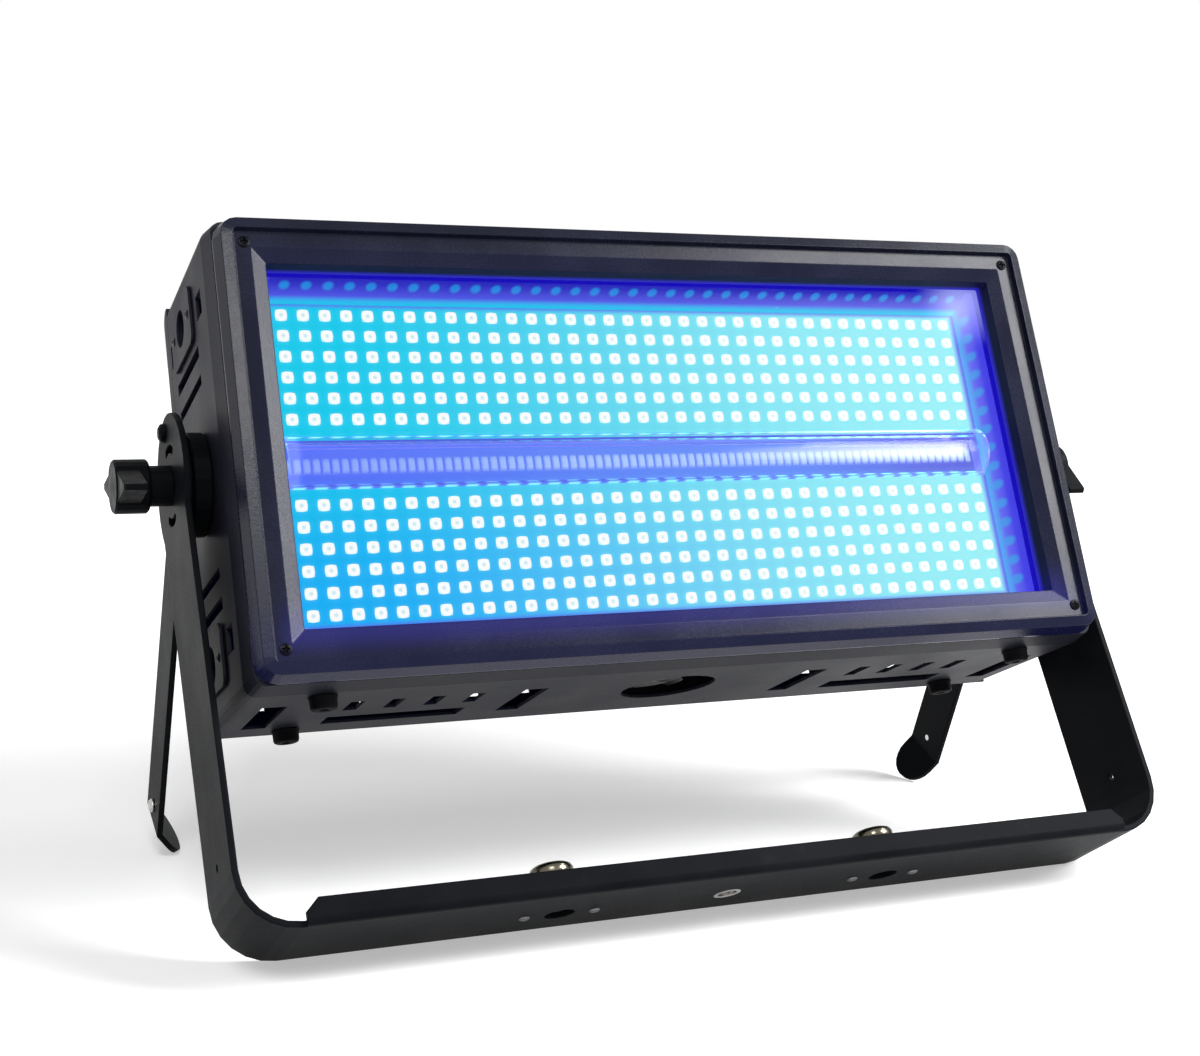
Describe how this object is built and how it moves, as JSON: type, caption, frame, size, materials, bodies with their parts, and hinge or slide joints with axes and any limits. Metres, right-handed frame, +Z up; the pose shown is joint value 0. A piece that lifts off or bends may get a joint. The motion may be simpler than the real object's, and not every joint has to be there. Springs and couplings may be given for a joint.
{
  "type": "stage strobe wash light",
  "caption": "Rectangular stage strobe and wash light: black stepped bezel over LED fields and a centre strobe bar, tilting in a flat-bar yoke with folding rear legs.",
  "frame": {"origin": "centre of the footprint of the bounding box, at floor level under the light standing on its yoke base and rear legs", "axes": "+X to the light's left seen from behind its front (right in a front view), +Y from front to rear, +Z up"},
  "size_m": [0.4758, 0.2186, 0.2908],
  "materials": {
    "black_paint": "satin black",
    "shell_paint": "fine-textured black",
    "yoke_paint": "satin black",
    "front_glass": "clear",
    "clear_lens": "clear acrylic",
    "smoked_window": "smoked gloss",
    "mirror": "polished",
    "aluminium": "raw",
    "plated_steel": "plated",
    "board": "white solder mask",
    "rubber": "matte",
    "black_plastic": "satin"
  },
  "bodies": {
    "yoke": {"yoke": "yoke_paint", "clamp_socket_left": "plated_steel", "clamp_socket_right": "plated_steel", "centre_insert": "plated_steel", "ear_screw_left": "black_plastic", "ear_screw_right": "black_plastic"},
    "leg_left": {"leg_left": "yoke_paint", "leg_stud_left": "plated_steel"},
    "leg_right": {"leg_right": "yoke_paint", "leg_stud_right": "plated_steel"},
    "knob_left": {"knob_left": "black_plastic"},
    "knob_right": {"knob_right": "black_plastic"},
    "fan": {"fan_rotor": "black_plastic"},
    "button_1": {"menu_button_1": "black_plastic"},
    "button_2": {"menu_button_2": "black_plastic"},
    "button_3": {"menu_button_3": "black_plastic"},
    "button_4": {"menu_button_4": "black_plastic"},
    "housing": {"bezel": "black_paint", "data_inlet": "plated_steel", "data_outlet": "plated_steel", "display_window": "smoked_window", "driver_board": "board", "fan_frame": "black_plastic", "front_glass": "front_glass", "fuse_holder": "black_plastic", "glass_gasket": "rubber", "heat_sink": "aluminium", "housing_shell": "shell_paint", "led_board_lower": "board", "led_board_upper": "board", "pivot_disc_left": "black_plastic", "pivot_disc_right": "black_plastic", "pivot_stud_left": "plated_steel", "pivot_stud_right": "plated_steel", "power_inlet": "black_plastic", "power_outlet": "black_plastic", "power_supply": "aluminium", "rear_cover": "shell_paint", "reflector": "mirror", "rubber_foot_front_left": "rubber", "rubber_foot_front_right": "rubber", "rubber_foot_rear_left": "rubber", "rubber_foot_rear_right": "rubber", "side_plate_lower_left": "shell_paint", "side_plate_lower_right": "shell_paint", "side_plate_upper_left": "shell_paint", "side_plate_upper_right": "shell_paint", "strobe_board": "board", "strobe_lens": "clear_lens"}
  },
  "joints": [
    {"name": "housing_tilt", "type": "hinge", "parent": "yoke", "child": "housing", "pos_m": [0, 0.02137, 0.17893], "axis": [1, 0, 0], "range_deg": [-110, 110]},
    {"name": "leg_left_swing", "type": "hinge", "parent": "yoke", "child": "leg_left", "pos_m": [-0.2098, 0.02137, 0.17893], "axis": [1, 0, 0], "range_deg": [-44, 35]},
    {"name": "leg_right_swing", "type": "hinge", "parent": "yoke", "child": "leg_right", "pos_m": [0.2098, 0.02137, 0.17893], "axis": [1, 0, 0], "range_deg": [-44, 35]},
    {"name": "knob_left_turn", "type": "hinge", "parent": "housing", "child": "knob_left", "pos_m": [-0.21415, 0.02137, 0.17893], "axis": [1, 0, 0], "continuous": true},
    {"name": "knob_right_turn", "type": "hinge", "parent": "housing", "child": "knob_right", "pos_m": [0.21415, 0.02137, 0.17893], "axis": [1, 0, 0], "continuous": true},
    {"name": "fan_spin", "type": "hinge", "parent": "housing", "child": "fan", "pos_m": [0, -0.01959, 0.08968], "axis": [0, 0.4226, 0.9063], "continuous": true},
    {"name": "button_1_press", "type": "slide", "parent": "housing", "child": "button_1", "axis": [0, -0.9063, 0.4226], "range_m": [0, 0.001], "stiffness_N_per_m": 400},
    {"name": "button_2_press", "type": "slide", "parent": "housing", "child": "button_2", "axis": [0, -0.9063, 0.4226], "range_m": [0, 0.001], "stiffness_N_per_m": 400},
    {"name": "button_3_press", "type": "slide", "parent": "housing", "child": "button_3", "axis": [0, -0.9063, 0.4226], "range_m": [0, 0.001], "stiffness_N_per_m": 400},
    {"name": "button_4_press", "type": "slide", "parent": "housing", "child": "button_4", "axis": [0, -0.9063, 0.4226], "range_m": [0, 0.001], "stiffness_N_per_m": 400}
  ]
}
